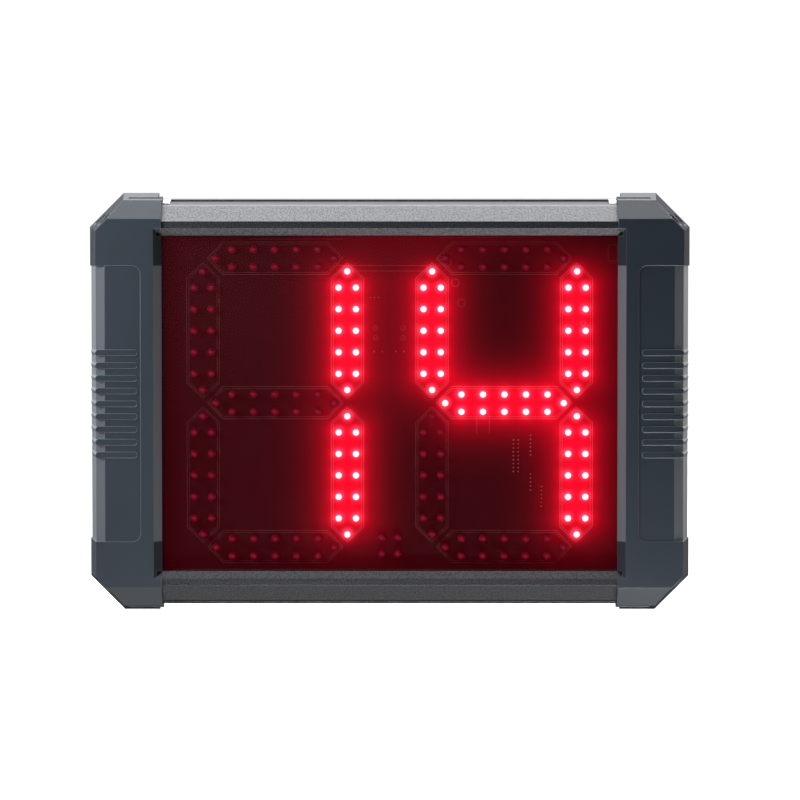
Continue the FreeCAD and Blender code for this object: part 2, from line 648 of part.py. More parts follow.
# ---- light-emitting diodes: twelve to a segment ----

SEGMENTS = {
    "a": (0, 1, False), "b": (0.5, 0.5, True), "c": (0.5, -0.5, True), "d": (0, -1, False),
    "e": (-0.5, -0.5, True), "f": (-0.5, 0.5, True), "g": (0, 0, False),
}


def segment_spots():
    """Five pairs and a single diode at each end, as (along, across)."""
    pitch = size("led_pitch")
    half = size("led_across / 2")
    tip = 2 * pitch + size("led_tip_gap")
    pairs = [(step * pitch, side * half) for step in range(-2, 3) for side in (-1, 1)]
    return [(-tip, 0.0), *pairs, (tip, 0.0)]


def make_leds():
    foot = ("0", "board_depth", "0")
    forward = V(0, -1, 0)
    dome_foot = "led_tall - led_radius"
    flange = rod("LedFlange", "led_flange", "led_flange_thick", foot, forward)
    barrel = rod("LedBarrel", "led_radius", dome_foot, foot, forward)
    dome = doc.addObject("Part::Sphere", "LedDome")
    bind(dome, "Radius", "led_radius")
    stand(dome, ("0", f"board_depth - ({dome_foot})", "0"), forward)
    diode = fused("Diode", flange, barrel, dome).Shape
    cell = size("cell_size")
    for digit, side in (("tens", -1), ("units", 1)):
        middle = side * size("digit_spacing / 2")
        for letter, (right, up, upright) in SEGMENTS.items():
            copies = []
            for along, across in segment_spots():
                shift = (across, along) if upright else (along, across)
                copies.append(moved(diode, middle + right * cell + shift[0], 0, up * cell + shift[1]))
            keep(f"{digit}_segment_{letter}", group(f"{digit}{letter}", copies))
    half = size("point_pitch / 2")
    low = -size("point_height")
    points = [moved(diode, across, 0, low + up) for across in (-half, half) for up in (-half, half)]
    keep("decimal_point", group("DecimalPoint", points))


# ---- electronics behind the display board ----

def chip(name, middle, sides, depths):
    """A plain package from its middle (x, height), its sides and its depth limits."""
    across = (f"{middle[0]} - ({sides[0]}) / 2", f"{middle[0]} + ({sides[0]}) / 2")
    heights = (f"{middle[1]} - ({sides[1]}) / 2", f"{middle[1]} + ({sides[1]}) / 2")
    return box(name, across, depths, heights)


def make_display_parts():
    low = BOARD_BACK
    driver = chip("Driver", ("0", "0"), ("driver_wide", "driver_long"), (low, f"{low} + driver_tall")).Shape
    spread = size("digit_spacing / 2")
    rise = size("cell_size / 2")
    drivers = [moved(driver, side * spread, 0, up * rise) for side in (-1, 1) for up in (-1, 1)]
    keep("led_driver_chips", group("Drivers", drivers))
    resistor = chip("Resistor", ("0", "0"), ("resistor_wide", "resistor_long"),
                    (low, f"{low} + resistor_tall")).Shape
    step = size("2 * resistor_long")
    resistors = []
    for side in (-1, 1):
        for place in range(-3, 4):
            resistors.append(moved(resistor, side * spread + place * step, 0, -size("cell_size * 0.75")))
    keep("segment_resistors", group("Resistors", resistors))
    holder_low = (low, f"{low} + holder_tall")
    middle = ("-digit_spacing / 2", "0")
    holder = chip("CellHolderBlock", middle, ("holder_wide", "holder_wide"), holder_low)
    floor = f"{low} + holder_tall - cell_thick - slot_fit"
    pocket = rod("CellPocket", "cell_radius + slot_fit", "holder_tall", (middle[0], floor, middle[1]))
    keep("cell_holder", less("CellHolder", holder, pocket))
    keep("clock_cell", rod("ClockCell", "cell_radius", "cell_thick", (middle[0], floor, middle[1])))
    radio = chip("RadioReceiver", ("-digit_spacing / 4", "-cell_size / 4"), ("radio_long", "radio_wide"),
                 (low, f"{low} + radio_tall"))
    keep("radio_receiver", radio)


def make_control_board():
    left = "control_x - control_width / 2"
    right = "control_x + control_width / 2"
    corners = []
    for across in (f"{left} + spacer_inset", f"{right} - spacer_inset"):
        for up in ("control_height / 2 - spacer_inset", "-(control_height / 2 - spacer_inset)"):
            corners.append((across, up))
    holes = [(across, up, "board_hole") for across, up in corners]
    board = slab("ControlBoard", (left, right), (CONTROL_DEPTH, CONTROL_BACK),
                 ("-control_height / 2", "control_height / 2"), holes)
    keep("control_board", board)
    post = doc.addObject("Part::Prism", "SpacerPost")
    post.Polygon = 6
    bind(post, "Circumradius", "spacer_flat / sqrt(3)")
    bind(post, "Height", "spacer_tall")
    stand(post, ("0", BOARD_BACK, "0"), V(0, 1, 0))
    bore = rod("SpacerBore", "board_hole", "spacer_tall + cut_past",
               ("0", f"{BOARD_BACK} + screw_thread", "0"))
    spacer = less("Spacer", post, bore).Shape
    shank = rod("BoardScrewShank", "screw_thread", "control_thick + spacer_tall / 2",
                ("0", f"{CONTROL_BACK} - control_thick - spacer_tall / 2", "0"))
    head = rod("BoardScrewHead", "screw_head_wide", "screw_head_tall", ("0", CONTROL_BACK, "0"))
    screw = fused("BoardScrew", shank, head).Shape
    places = [(size(across), size(up)) for across, up in corners]
    keep("board_spacers", group("Spacers", [moved(spacer, across, 0, up) for across, up in places]))
    keep("board_screws", group("BoardScrews", [moved(screw, across, 0, up) for across, up in places]))
    header = chip("BoardHeader", ("control_x", "control_height / 3"), ("header_long", "header_wide"),
                  (BOARD_BACK, CONTROL_DEPTH))
    keep("board_header", header)
    low = CONTROL_BACK
    parts = [
        ("microcontroller", "control_x - control_width / 5", "0", "micro_side", "micro_side", "micro_tall"),
        ("clock_crystal", "control_x - control_width / 5", "-control_height / 3", "crystal_long",
         "crystal_wide", "crystal_tall"),
        ("power_inductor", "control_x + control_width / 5", "0", "inductor_side", "inductor_side",
         "inductor_tall"),
    ]
    for node, across, up, wide, tall, thick in parts:
        keep(node, chip(node.title().replace("_", ""), (across, up), (wide, tall), (low, f"{low} + {thick}")))


def make_power_entry():
    """The jack and its nut in the recess, and the header its leads run to."""
    floor = "(overall_depth - recess_deep)"
    inner_face = f"({floor} - recess_wall)"
    bushing_end = f"({floor} + jack_nut_tall + jack_proud)"
    bore_floor = f"({bushing_end} - jack_bore_deep)"

    def turned(name, radius, low, high):
        return rod(name, radius, f"{high} - {low}", (RECESS_X, low, "jack_height"))

    rear = turned("JackBody", "jack_radius - body_relief", f"({inner_face} - jack_body_deep)", inner_face)
    flange = turned("JackFlange", "jack_flange", f"({inner_face} - jack_flange_thick)", inner_face)
    bushing = turned("JackBushing", "jack_radius", inner_face, bushing_end)
    bore = turned("JackBore", "jack_bore", bore_floor, f"({bushing_end} + cut_past)")
    pin = turned("JackPin", "jack_pin", f"({bore_floor} - cut_past)", f"({bushing_end} - jack_pin_sunk)")
    hollow = less("JackHollow", fused("JackSolid", rear, flange, bushing), bore)
    keep("power_jack", fused("PowerJack", hollow, pin))
    hexagon = doc.addObject("Part::Prism", "JackNutHexagon")
    hexagon.Polygon = 6
    bind(hexagon, "Circumradius", "jack_nut_flat / sqrt(3)")
    bind(hexagon, "Height", "jack_nut_tall")
    stand(hexagon, (RECESS_X, floor, "jack_height"), V(0, 1, 0))
    opening = turned("JackNutHole", "jack_radius + nut_thread_fit", f"({floor} - jack_nut_tall)",
                     f"({floor} + 2 * jack_nut_tall)")
    keep("power_jack_nut", less("JackNut", hexagon, opening))
    header_side = f"({SHEET_END} - header_wide)"
    between = "((jack_height + switch_height) / 2)"
    header = box("PowerHeader", (f"{header_side} - header_wide", header_side),
                 (BOARD_BACK, f"{BOARD_BACK} + header_wide"),
                 (f"{between} - header_wide", f"{between} + header_wide"))
    keep("power_header", header)
    depth = f"{BOARD_BACK} + header_wide / 2"
    joint = "header_wide / 2"
    body_radius = "(jack_radius - body_relief)"
    switch_side = f"{RECESS_X} - switch_wide / 2"
    to_switch = lead_path(header_side, f"{between} + {joint}", switch_side, "switch_height",
                          depth)
    to_jack = lead_path(header_side, f"{between} - {joint}", f"{RECESS_X} - {body_radius}", "jack_height",
                        depth)
    link = [(RECESS_X, depth, "switch_height - switch_tall / 2"),
            (RECESS_X, depth, f"jack_height + {body_radius}")]
    leads = [tube(route) for route in (to_switch, to_jack, link)]
    keep("power_leads", group("PowerLeads", leads))


def lead_path(start_x, start_up, end_x, end_up, depth):
    """A lead that steps from one height to another between two faces that look at each other."""
    third = f"(({end_x}) - ({start_x})) / 3"
    return [
        (start_x, depth, start_up), (f"{start_x} + {third}", depth, start_up),
        (f"{end_x} - {third}", depth, end_up), (end_x, depth, end_up),
    ]


def tube(route):
    """A round lead along straight runs joined by tangent arcs."""
    points = [V(size(across), size(at(depth)), size(up)) for across, depth, up in route]
    edges = []
    last = points[0]
    for before, corner, after in zip(points, points[1:], points[2:]):
        back = (before - corner).normalize()
        onward = (after - corner).normalize()
        reach = 0.45 * min((before - corner).Length, (after - corner).Length)
        half_angle = back.getAngle(onward) / 2
        radius = reach * math.tan(half_angle)
        enter = corner + back * reach
        leave = corner + onward * reach
        middle = corner + (back + onward).normalize() * (radius / math.sin(half_angle) - radius)
        edges.append(Part.LineSegment(last, enter).toShape())
        edges.append(Part.Arc(enter, middle, leave).toShape())
        last = leave
    edges.append(Part.LineSegment(last, points[-1]).toShape())
    path = Part.Wire(edges)
    section = Part.Wire(Part.makeCircle(size("lead_radius"), points[0], points[1] - points[0]))
    return path.makePipeShell([section], True, False)


# ---- the power switch: a rocker on its own pins ----

def make_switch():
    floor = "(overall_depth - recess_deep)"
    pivot_depth = f"({floor} + rocker_pivot)"
    middle = (RECESS_X, "switch_height")
    body = chip("SwitchBlock", middle, ("switch_wide", "switch_tall"), (f"{floor} - switch_body_deep", floor))
    flange = chip("SwitchFlange", middle, ("switch_flange_wide", "switch_flange_tall"),
                  (floor, f"{floor} + switch_flange_thick"))
    room_half = "(switch_wide / 2 - switch_wall)"
    room_tall = "2 * (rocker_half + rocker_gap)"
    room = chip("RockerRoom", middle, (f"2 * {room_half}", room_tall),
                (f"{pivot_depth} - rocker_room", f"{pivot_depth} + rocker_room"))
    bore = rod("PinBore", "rocker_pin + rocker_pin_fit", f"2 * {room_half} + 2 * rocker_pin_long",
               (f"{RECESS_X} - {room_half} - rocker_pin_long", pivot_depth, "switch_height"), V(1, 0, 0))
    keep("power_switch_body", less("SwitchBody", fused("SwitchSolid", body, flange), room, bore))
    profile = [
        ("-rocker_skirt", "rocker_half"), ("rocker_dish + rocker_dip", "rocker_half"), ("rocker_dish", "0"),
        ("rocker_dish + rocker_dip", "-rocker_half"), ("-rocker_skirt", "-rocker_half"),
        ("-rocker_keel", "-rocker_half / 2"), ("-rocker_keel", "rocker_half / 2"),
    ]
    wide = f"({room_half} - rocker_side_gap)"
    paddle = prism("RockerPaddle", "YZ_Plane", [profile], "0", f"2 * {wide}", both_ways=True)
    pins = doc.addObject("Part::Cylinder", "RockerPins")
    bind(pins, "Radius", "rocker_pin")
    bind(pins, "Height", f"2 * {wide} + 2 * rocker_pin_long")
    pins.Placement = FreeCAD.Placement(V(), FreeCAD.Rotation(V(0, 0, 1), V(1, 0, 0)))
    bind(pins, "Placement.Base.x", f"-{wide} - rocker_pin_long")
    doc.recompute()
    shape = fused("RockerForm", paddle, pins).Shape.copy()
    shape.rotate(V(), V(1, 0, 0), -size("rocker_tilt"))
    shape.translate(V(size(RECESS_X), size(at(pivot_depth)), size("switch_height")))
    keep("power_switch_rocker", group("Rocker", shape.Solids))


# ---- hangers that slide in the rear slot of the top rail ----

def make_hanger(node, side):
    """A plate with a keyhole, a countersunk screw and a nut held in the slot."""
    middle = f"{side}hanger_spacing / 2"
    label = node.title().replace("_", "")
    near = "(rail_rear + hanger_gap)"
    far = "(rail_rear + hanger_gap + hanger_thick)"
    half = "hanger_wide / 2"
    plate = new_body(f"{label}Plate")
    low = f"{HANGER_TOP} - hanger_tall"
    outline = rectangle(f"{middle} - {half}", f"{middle} + {half}", low, HANGER_TOP)
    feature(plate, "Pad", sketch(plate, "XZ_Plane", [outline], facing(far)), "hanger_thick")
    thick = size("hanger_thick / 2")
    round_edges(plate, lambda ends: ends.YLength > thick, "hanger_round")
    depth = "rail_rear - hanger_thick / 2"
    through = "2 * hanger_thick"
    eye = rod(f"{label}Eye", "key_radius", through, (middle, depth, KEY_HEIGHT))
    slot_top = f"{KEY_HEIGHT} + key_slot_rise"
    slot = box(f"{label}Slot", (f"{middle} - key_slot / 2", f"{middle} + key_slot / 2"),
               (depth, f"{depth} + {through}"), (KEY_HEIGHT, slot_top))
    slot_end = rod(f"{label}SlotEnd", "key_slot / 2", through, (middle, depth, slot_top))
    sink = cone(f"{label}Sink", "hanger_screw + nut_thread_fit", "hanger_screw_head + nut_thread_fit",
                (middle, near, TEE_MIDDLE))
    keep(node, less(label, plate, eye, slot, slot_end, sink))
    head = cone(f"{label}Head", "hanger_screw", "hanger_screw_head", (middle, near, TEE_MIDDLE))
    shank = rod(f"{label}Shank", "hanger_screw", "hanger_screw_reach",
                (middle, f"{near} - hanger_screw_reach", TEE_MIDDLE))
    keep(f"{node}_screw", fused(f"{label}Screw", head, shank))
    nut_rear = "(rail_rear - tee_lip - slot_fit)"
    block = chip(f"{label}Block", (middle, TEE_MIDDLE), ("nut_long", "nut_tall"),
                 (f"{nut_rear} - nut_thick", nut_rear))
    thread = rod(f"{label}Thread", "hanger_screw + nut_thread_fit", "3 * nut_thick",
                 (middle, f"{nut_rear} - 2 * nut_thick", TEE_MIDDLE))
    keep(f"{node}_nut", less(f"{label}Nut", block, thread))


def cone(name, front_radius, rear_radius, start):
    """A countersink through a hanger, wider to the rear."""
    made = doc.addObject("Part::Cone", name)
    bind(made, "Radius1", front_radius)
    bind(made, "Radius2", rear_radius)
    bind(made, "Height", "hanger_thick")
    return stand(made, start, V(0, 1, 0))


def make_sounder():
    """A round sounder against the back wall of the left cap, behind its sound slots."""
    start = (f"-{RECESS_X}", "rail_rear + socket_fit - sounder_tall", "sounder_height")
    keep("sounder", rod("Sounder", "sounder_radius", "sounder_tall", start))


def check_all():
    for thing in doc.Objects:
        if "Invalid" in thing.State or "Error" in thing.State:
            raise RuntimeError(f"{thing.Name} failed")
    for node, part in NODES.items():
        if part.Shape.isNull() or not part.Shape.isValid():
            raise RuntimeError(f"{node} has no valid shape")


def main():
    make_rails()
    make_caps()
    make_cap_screws()
    make_plugs()
    make_sheets()
    make_leds()
    make_display_parts()
    make_control_board()
    make_power_entry()
    make_switch()
    make_hanger("hanger_left", "-")
    make_hanger("hanger_right", "")
    make_sounder()
    doc.recompute()
    check_all()
    os.makedirs("parts", exist_ok=True)
    for node, part in NODES.items():
        part.Shape.exportStep(f"parts/{node}.step")


main()
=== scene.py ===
import math
import bpy
from mathutils import Matrix, Vector


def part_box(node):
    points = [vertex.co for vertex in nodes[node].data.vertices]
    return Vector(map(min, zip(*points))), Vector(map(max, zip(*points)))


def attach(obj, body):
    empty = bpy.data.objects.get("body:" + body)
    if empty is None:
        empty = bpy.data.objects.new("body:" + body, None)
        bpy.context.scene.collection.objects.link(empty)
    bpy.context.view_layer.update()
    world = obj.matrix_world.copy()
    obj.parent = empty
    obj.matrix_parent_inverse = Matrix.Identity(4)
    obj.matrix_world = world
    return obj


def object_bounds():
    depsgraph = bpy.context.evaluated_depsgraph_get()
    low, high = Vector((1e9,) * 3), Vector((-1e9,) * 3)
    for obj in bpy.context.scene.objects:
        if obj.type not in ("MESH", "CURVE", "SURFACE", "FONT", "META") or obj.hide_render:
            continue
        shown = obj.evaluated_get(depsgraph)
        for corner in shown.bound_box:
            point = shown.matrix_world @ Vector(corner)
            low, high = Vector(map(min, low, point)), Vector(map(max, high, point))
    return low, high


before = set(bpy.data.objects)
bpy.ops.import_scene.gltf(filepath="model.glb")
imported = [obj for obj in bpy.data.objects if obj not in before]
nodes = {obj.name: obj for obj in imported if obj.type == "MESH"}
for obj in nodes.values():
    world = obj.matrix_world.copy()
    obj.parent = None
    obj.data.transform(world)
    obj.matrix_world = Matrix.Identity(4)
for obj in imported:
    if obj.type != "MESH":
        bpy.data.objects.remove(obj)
cad_low, cad_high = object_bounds()

MM = 0.001
BOARD_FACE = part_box("display_board")[0][1]
MIDDLE_UP = (cad_low[2] + cad_high[2]) / 2
DIGIT_OFFSET = 73.5
CELL = 92.7
PITCH = 13.78
HALF_ACROSS = 5.545
TIP = 37.94
GRIP_HALF = 88.0
# height of the rails' edge, where the rail colour carries a painted highlight line
RAIL_EDGE = 126.3
SEGMENTS = {
    "a": (0, 1, False), "b": (0.5, 0.5, True), "c": (0.5, -0.5, True), "d": (0, -1, False),
    "e": (-0.5, -0.5, True), "f": (-0.5, 0.5, True), "g": (0, 0, False),
}
SHOWN = {"tens": "bc", "units": "fgbc"}


def places(digit, letters="abcdefg"):
    """Middles of a digit's segments from the middle of the object, in millimetres, and whether each stands upright."""
    side = -1 if digit == "tens" else 1
    for letter in letters:
        across, up, upright = SEGMENTS[letter]
        yield side * DIGIT_OFFSET + across * CELL, up * CELL, upright


LIT = [place for digit, letters in SHOWN.items() for place in places(digit, letters)]


# ---- shader sums ----

class Signal:
    """A number that changes over a surface. Sums on it add Math nodes."""

    def __init__(self, paint, socket):
        self.paint = paint
        self.socket = socket

    def maths(self, operation, *terms):
        node = self.paint.add("ShaderNodeMath", {"operation": operation}, dict(enumerate(terms)))
        return Signal(self.paint, node.outputs[0])

    def __add__(self, other):
        return self.maths("ADD", self, other)

    def __radd__(self, other):
        return self.maths("ADD", other, self)

    def __sub__(self, other):
        return self.maths("SUBTRACT", self, other)

    def __rsub__(self, other):
        return self.maths("SUBTRACT", other, self)

    def __mul__(self, other):
        return self.maths("MULTIPLY", self, other)

    def __rmul__(self, other):
        return self.maths("MULTIPLY", other, self)

    def __truediv__(self, other):
        return self.maths("DIVIDE", self, other)

    def __abs__(self):
        return self.maths("ABSOLUTE", self)

    def least(self, other):
        return self.maths("MINIMUM", self, other)

    def most(self, other):
        return self.maths("MAXIMUM", self, other)

    def rounded(self):
        return self.maths("ROUND", self)

    def exponent(self):
        return self.maths("EXPONENT", self)

    def root(self):
        return self.maths("SQRT", self)

    def step(self, low, high):
        """0 below low, 1 above high, smooth between."""
        node = self.paint.add("ShaderNodeMapRange", {"interpolation_type": "SMOOTHSTEP"},
                              {"Value": self, "From Min": low, "From Max": high})
        return Signal(self.paint, node.outputs[0])


class Paint:
    """A material: a Principled shader with its constants, and the nodes that feed it."""

    def __init__(self, name, **constants):
        self.material = bpy.data.materials.new(name)
        self.material.use_nodes = True
        self.tree = self.material.node_tree
        self.shader = self.tree.nodes["Principled BSDF"]
        for key, amount in constants.items():
            self.shader.inputs[key.replace("_", " ")].default_value = amount
        self.where = self.add("ShaderNodeTexCoord").outputs["Object"]

    def add(self, kind, settings=None, inputs=None):
        node = self.tree.nodes.new(kind)
        for key, amount in (settings or {}).items():
            setattr(node, key, amount)
        for key, amount in (inputs or {}).items():
            if isinstance(amount, Signal):
                self.tree.links.new(amount.socket, node.inputs[key])
            elif isinstance(amount, bpy.types.NodeSocket):
                self.tree.links.new(amount, node.inputs[key])
            else:
                node.inputs[key].default_value = amount
        return node

    def feed(self, **links):
        for key, amount in links.items():
            source = amount.socket if isinstance(amount, Signal) else amount
            self.tree.links.new(source, self.shader.inputs[key.replace("_", " ")])

    def noise(self, scale, detail=3.0, roughness=0.55, stretch=None):
        where = self.where
        if stretch:
            where = self.add("ShaderNodeMapping", None, {"Vector": where, "Scale": stretch}).outputs[0]
        node = self.add("ShaderNodeTexNoise", None,
                        {"Vector": where, "Scale": scale, "Detail": detail, "Roughness": roughness})
        return Signal(self, node.outputs["Fac"])

    def axes(self):
        """Across, depth and height from the middle of the object, in millimetres."""
        parts = self.add("ShaderNodeSeparateXYZ", None, {0: self.where})
        across, depth, up = (Signal(self, socket) * 1000.0 for socket in parts.outputs)
        return across, depth, up - MIDDLE_UP * 1000.0

    def facing(self):
        """The surface's direction, as three numbers."""
        normal = self.add("ShaderNodeTexCoord").outputs["Normal"]
        return [Signal(self, socket) for socket in self.add("ShaderNodeSeparateXYZ", None, {0: normal}).outputs]

    def blend(self, factor, low, high):
        node = self.add("ShaderNodeMix", {"data_type": "RGBA"}, {0: factor, 6: low, 7: high})
        return node.outputs[2]

    def tint(self, factor, colour):
        """A colour scaled by a number that changes."""
        node = self.add("ShaderNodeVectorMath", {"operation": "SCALE"}, {0: colour, "Scale": factor})
        return node.outputs[0]

    def sum(self, first, second):
        node = self.add("ShaderNodeVectorMath", {"operation": "ADD"}, {0: first, 1: second})
        return node.outputs[0]

    def edge(self, radius, low, high):
        """1 along the outer and inner edges, 0 on the flats."""
        soft = self.add("ShaderNodeBevel", {"samples": 8}, {"Radius": radius}).outputs[0]
        true = self.add("ShaderNodeNewGeometry").outputs["True Normal"]
        agree = self.add("ShaderNodeVectorMath", {"operation": "DOT_PRODUCT"}, {0: soft, 1: true})
        return (1.0 - Signal(self, agree.outputs["Value"])).step(low, high)

    def bump(self, height, depth, edge=0.0):
        """A fine relief, over edges rounded by a small radius."""
        inputs = {"Height": height, "Distance": depth, "Strength": 1.0}
        if edge:
            inputs["Normal"] = self.add("ShaderNodeBevel", {"samples": 6}, {"Radius": edge}).outputs[0]
        self.feed(Normal=self.add("ShaderNodeBump", None, inputs).outputs[0])


def rgb(red, green, blue):
    return red, green, blue, 1.0


# ---- finishes ----

def cap_plastic():
    """Spark-textured moulding, dark blue-grey, with a grey side trim within the grip. Painted shade darkens its side
    faces outside the grip, and a painted highlight lightens its edges.
    """
    paint = Paint("cap_moulding", Specular_IOR_Level=0.45, Coat_Roughness=0.3)
    grain = paint.noise(1500.0, 2.0)
    cloud = paint.noise(22.0, 2.0)
    _, _, up = paint.axes()
    sideways = abs(paint.facing()[0]).step(0.3, 0.5)
    grip = (GRIP_HALF - abs(up)).step(-0.3, 0.3)
    front = paint.blend(cloud * 0.6 + grain * 0.4, rgb(0.015, 0.021, 0.030), rgb(0.023, 0.031, 0.042))
    # painted shade: side faces outside the grip are coloured darker than the front of the same moulding; within the
    # grip they take the grey side trim colour
    side_shade_and_trim = paint.blend(grip, rgb(0.006, 0.008, 0.013), rgb(0.060, 0.068, 0.078))
    flats = paint.blend(sideways, front, side_shade_and_trim)
    # painted highlight: a light line blended into the colour along the outer and inner edges, where light would catch
    # their rounding
    edge = paint.edge(0.0006, 0.02, 0.16)
    paint.feed(Base_Color=paint.blend(edge * 0.8, flats, rgb(0.13, 0.145, 0.165)),
               Roughness=0.38 + grain * 0.14 + sideways * (0.45 - grip * 0.33), Coat_Weight=sideways * grip * 0.3)
    paint.bump(grain, 0.00006, 0.0007)
    return paint.material


def rail_anodise():
    """Blasted and anodised extrusion: a fine sparkle, with faint die lines along its length, and a painted highlight
    line along its edge.
    """
    paint = Paint("rail_anodise", Metallic=0.6, Specular_IOR_Level=0.4)
    sparkle = paint.noise(1000.0, 3.0, 0.7)
    lines = paint.noise(900.0, 1.0, stretch=(0.004, 1.0, 1.0))
    _, _, up = paint.axes()
    # painted highlight: a light band at the rails' edge height, mixed into the colour with the sparkle and die lines
    edge = 1.0 - abs(abs(up) - RAIL_EDGE).step(0.2, 0.5)
    shade = (sparkle.step(0.3, 0.7) * 0.8 + lines * 0.2 + edge * 0.8).least(1.0)
    paint.feed(Base_Color=paint.blend(shade, rgb(0.012, 0.0125, 0.016), rgb(0.092, 0.092, 0.098)),
               Roughness=0.3 + sparkle * 0.14)
    paint.bump(sparkle, 0.00012, 0.0003)
    return paint.material


def tinted_pane():
    """Clear red acrylic: a thin tint on each face, slightly hazy from handling."""
    paint = Paint("red_pane", IOR=1.49, Specular_IOR_Level=0.35)
    haze = paint.noise(14.0, 4.0)
    paint.feed(Base_Color=paint.blend(haze, rgb(0.095, 0.0006, 0.005), rgb(0.135, 0.0010, 0.007)),
               Alpha=0.2 + haze * 0.03, Roughness=0.03 + haze * 0.03)
    return paint.material


def glow(paint):
    """Light that the shown segments throw on the board: a wide red fall-off, and a hot ring at each diode."""
    across, _, up = paint.axes()
    wide = None
    near = None
    for middle, height, upright in LIT:
        right, rise = across - middle, up - height
        along, aside = (rise, right) if upright else (right, rise)
        row = (along / PITCH).rounded().least(2.0).most(-2.0)
        step = along - row * PITCH
        off = abs(aside) - HALF_ACROSS
        end = abs(along) - TIP
        ring = (step * step + off * off).least(end * end + aside * aside)
        near = ring if near is None else near.least(ring)
        beyond = (abs(along) - 2 * PITCH).most(0.0)
        beside = off.most(0.0)
        fade = ((beyond * beyond + beside * beside).root() * (-1 / 8.6)).exponent()
        wide = fade if wide is None else wide + fade
    ring = (near * (-1 / 30.0)).exponent()
    core = (near * (-1 / 6.0)).exponent()
    return wide, ring, core


def board_mask():
    """Black solder mask over faint copper tracks, lit by the diodes on it, with a painted band of red glow across the
    top middle.
    """
    paint = Paint("board_mask", Specular_IOR_Level=0.15, Emission_Strength=1.0)
    wide, ring, core = glow(paint)
    weave = paint.noise(900.0, 2.0)
    tracks = paint.noise(60.0, 2.0, stretch=(6.0, 1.0, 0.35))
    across, _, up = paint.axes()
    # painted light: a faint band of red glow over the top middle of the board, added to the emission
    painted_glow_band = up.step(84.0, 112.0) * (1.0 - abs(across - 25.0).step(30.0, 110.0))
    red = paint.tint(wide * 1.15 + ring * 0.6 + painted_glow_band * 0.07, (1.35, 0.003, 0.026))
    hot = paint.tint(core, (3.0, 0.25, 0.5))
    paint.feed(Base_Color=paint.blend(tracks, rgb(0.006, 0.0009, 0.0012), rgb(0.012, 0.0018, 0.0028)),
               Emission_Color=paint.sum(red, hot), Roughness=0.38 + weave * 0.1)
    paint.bump(weave, 0.00003)
    return paint.material


def board_print():
    """The printed outlines, brighter where the diodes light them."""
    paint = Paint("board_print", Roughness=0.6, Emission_Strength=1.0)
    wide, ring, core = glow(paint)
    wear = paint.noise(700.0, 2.0)
    paint.feed(Base_Color=paint.blend(wear, rgb(0.06, 0.018, 0.02), rgb(0.12, 0.04, 0.042)),
               Emission_Color=paint.sum(paint.tint(wide + ring * 0.6, (1.75, 0.045, 0.09)),
                                        paint.tint(core, (3.0, 0.5, 0.8))))
    return paint.material


def lens(name, lit):
    """Red diode resin. A shown one glares white through its crown. A dark one carries a painted dim red glow on its
    dome and painted red spill from the shown segments.
    """
    paint = Paint(name, Roughness=0.15 if lit else 0.6, Specular_IOR_Level=0.5 if lit else 0.1, Emission_Strength=1.0)
    slant = paint.facing()
    _, depth, _ = paint.axes()
    raised = (BOARD_FACE / MM - depth).step(1.0, 1.6)
    swirl = paint.noise(500.0, 2.0)
    if lit:
        crown = (slant[1] * -1.0).step(0.45, 0.97)
        dome = paint.blend(crown, rgb(2.4, 0.07, 0.2), rgb(4.0, 3.0, 3.1))
        paint.feed(Emission_Color=paint.blend(raised, rgb(2.4, 0.05, 0.14), dome),
                   Base_Color=paint.blend(swirl, rgb(0.6, 0.02, 0.04), rgb(0.7, 0.03, 0.05)))
        return paint.material
    wide, _, _ = glow(paint)
    resin = paint.blend(swirl, rgb(0.10, 0.002, 0.008), rgb(0.17, 0.004, 0.014))
    body = paint.blend(raised, rgb(0.02, 0.002, 0.003), resin)
    # painted light: the dark diode's dome glows as a dim red oval, plus half of the red spill of the shown segments
    oval = ((slant[0] * slant[0] * 2.2 + slant[2] * slant[2] * 5.0) * -1.0).exponent()
    own = paint.tint(oval * raised * 0.26 * (0.6 + swirl * 0.8), (1.0, 0.012, 0.09))
    paint.feed(Base_Color=body, Emission_Color=paint.sum(own, paint.tint(wide * 0.5, (1.0, 0.008, 0.04))))
    return paint.material


def plain_plastic(name, low, high, rough=0.45, grain_scale=1200.0):
    paint = Paint(name)
    grain = paint.noise(grain_scale, 2.0)
    paint.feed(Base_Color=paint.blend(grain, low, high), Roughness=rough + grain * 0.12)
    paint.bump(grain, 0.00003, 0.0003)
    return paint.material


def metal(name, low, high, rough, grain_scale=900.0, stretch=None, relief=0.00002):
    paint = Paint(name, Metallic=1.0)
    grain = paint.noise(grain_scale, 3.0, stretch=stretch)
    paint.feed(Base_Color=paint.blend(grain, low, high), Roughness=rough + grain * 0.15)
    paint.bump(grain, relief, 0.00025)
    return paint.material


def powder_coat():
    """Matt black powder coat, slightly pebbled."""
    paint = Paint("panel_coat", Specular_IOR_Level=0.4)
    pebble = paint.noise(1100.0, 2.0)
    dust = paint.noise(9.0, 3.0)
    paint.feed(Base_Color=paint.blend(dust, rgb(0.018, 0.018, 0.020), rgb(0.030, 0.030, 0.032)),
               Roughness=0.5 + pebble * 0.15)
    paint.bump(pebble, 0.00008, 0.0003)
    return paint.material


def dress(names, material):
    for name in names:
        slots = nodes[name].data.materials
        slots.clear()
        slots.append(material)


